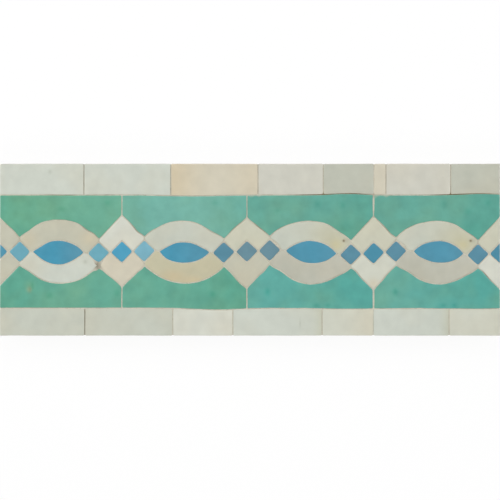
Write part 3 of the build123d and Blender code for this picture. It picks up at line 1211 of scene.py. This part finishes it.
class MOSAIC_OT_stage(bpy.types.Operator):
    """Lays the panel on pale paper under soft lamps, with the camera straight above"""

    bl_idname = "mosaic.stage"
    bl_label = "Stage"

    def execute(self, context):
        scene = context.scene
        stage = scene.mosaic_stage
        scene.view_settings.view_transform = "Standard"
        self.paper(stage)
        self.lamps(stage)
        self.sky(stage)
        camera = bpy.data.cameras.new("camera")
        camera.lens = stage.lens / MM
        camera.sensor_width = SENSOR
        camera.clip_end = FARTHEST
        viewer = bpy.data.objects.new("camera", camera)
        away = stage.view_width * camera.lens / camera.sensor_width
        viewer.location = (0, -stage.view_drop, GLAZE_TOP + away)
        scene.collection.objects.link(viewer)
        scene.camera = viewer
        return {"FINISHED"}

    def paper(self, stage):
        """Pale floor that the camera sees as white apart from the panel's shadow."""
        corners = [(-1, -1), (1, -1), (1, 1), (-1, 1)]
        mesh = bpy.data.meshes.new("paper")
        spots = [(x * HALF_PAPER, y * HALF_PAPER, PAPER_HEIGHT) for x, y in corners]
        mesh.from_pydata(spots, [], [range(len(spots))])
        floor = bpy.data.objects.new("paper", mesh)
        bpy.context.scene.collection.objects.link(floor)
        material = blank("white_paper")
        tree = material.node_tree
        light = put(tree, "ShaderNodeLightPath").outputs
        seen = light["Is Camera Ray"]
        for ray in ("Is Glossy Ray", "Is Transmission Ray"):
            seen = put(tree, "ShaderNodeMath", {0: seen, 1: light[ray]}, operation="MAXIMUM").outputs[0]
        matt = put(tree, "ShaderNodeBsdfDiffuse", {"Color": opaque(stage.sheet)}).outputs[0]
        glow = put(tree, "ShaderNodeEmission", {"Color": (1, 1, 1, 1), "Strength": 1.0}).outputs[0]
        share = put(tree, "ShaderNodeMath", {0: seen, 1: PAPER_GLOW}, operation="MULTIPLY").outputs[0]
        mixed = put(tree, "ShaderNodeMixShader", {0: share, 1: matt, 2: glow}).outputs[0]
        put(tree, "ShaderNodeOutputMaterial", {"Surface": mixed})
        mesh.materials.append(material)
        floor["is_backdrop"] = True

    def lamps(self, stage):
        """Four soft lamps round the panel, clear of the camera's mirror line."""
        for name, (x, y, share) in LAMPS.items():
            lamp = bpy.data.lights.new(name, "AREA")
            lamp.energy = stage.key * share
            lamp.size = LAMP_SIZE
            holder = bpy.data.objects.new(name, lamp)
            holder.location = (x, y, LAMP_HEIGHT)
            holder.rotation_euler = (-holder.location).to_track_quat("-Z", "Y").to_euler()
            bpy.context.scene.collection.objects.link(holder)

    def sky(self, stage):
        """Even light from all round, seen as white where the camera looks past the paper."""
        world = bpy.data.worlds.new("studio")
        world.use_nodes = True
        tree = world.node_tree
        tree.nodes.clear()
        light = put(tree, "ShaderNodeLightPath").outputs
        levels = dict(zip(SPAN, (light["Is Camera Ray"], 0.0, 1.0, stage.sky_level, 1.0)))
        level = put(tree, "ShaderNodeMapRange", levels).outputs[0]
        background = put(tree, "ShaderNodeBackground", {"Color": (1, 1, 1, 1), "Strength": level})
        put(tree, "ShaderNodeOutputWorld", {"Surface": background.outputs[0]})
        bpy.context.scene.world = world


OPERATORS = (
    MOSAIC_OT_listels,
    MOSAIC_OT_fields,
    MOSAIC_OT_bands,
    MOSAIC_OT_chevrons,
    MOSAIC_OT_lenses,
    MOSAIC_OT_squares,
    MOSAIC_OT_mortar,
    MOSAIC_OT_stage,
)


class MOSAIC_PT_panel(bpy.types.Panel):
    """Sidebar page that lists the steps of the work"""

    bl_idname = "MOSAIC_PT_panel"
    bl_label = "Mosaic"
    bl_space_type = "VIEW_3D"
    bl_region_type = "UI"
    bl_category = "Mosaic"

    def draw(self, context):
        for operator in OPERATORS:
            self.layout.operator(operator.bl_idname)


GROUPS = {
    "mosaic_tones": MosaicTones,
    "mosaic_hand": MosaicHand,
    "mosaic_mortar": MosaicMortar,
    "mosaic_stage": MosaicStage,
}


def register():
    """Registers the settings, the operators and the sidebar page."""
    for name, group in GROUPS.items():
        bpy.utils.register_class(group)
        setattr(bpy.types.Scene, name, PointerProperty(type=group))
    for cls in (*OPERATORS, MOSAIC_PT_panel):
        bpy.utils.register_class(cls)


def unregister():
    """Takes everything off again."""
    for cls in (MOSAIC_PT_panel, *reversed(OPERATORS)):
        bpy.utils.unregister_class(cls)
    for name, group in GROUPS.items():
        delattr(bpy.types.Scene, name)
        bpy.utils.unregister_class(group)


def main():
    """Dresses the panel."""
    register()
    for step in ("listels", "fields", "bands", "chevrons", "lenses", "squares", "mortar", "stage"):
        getattr(bpy.ops.mosaic, step)()
    boxes = {"cad": cad_box, "visual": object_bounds()}
    {name: [list(corner) for corner in box] for name, box in boxes.items()}


if __name__ == "__main__":
    main()
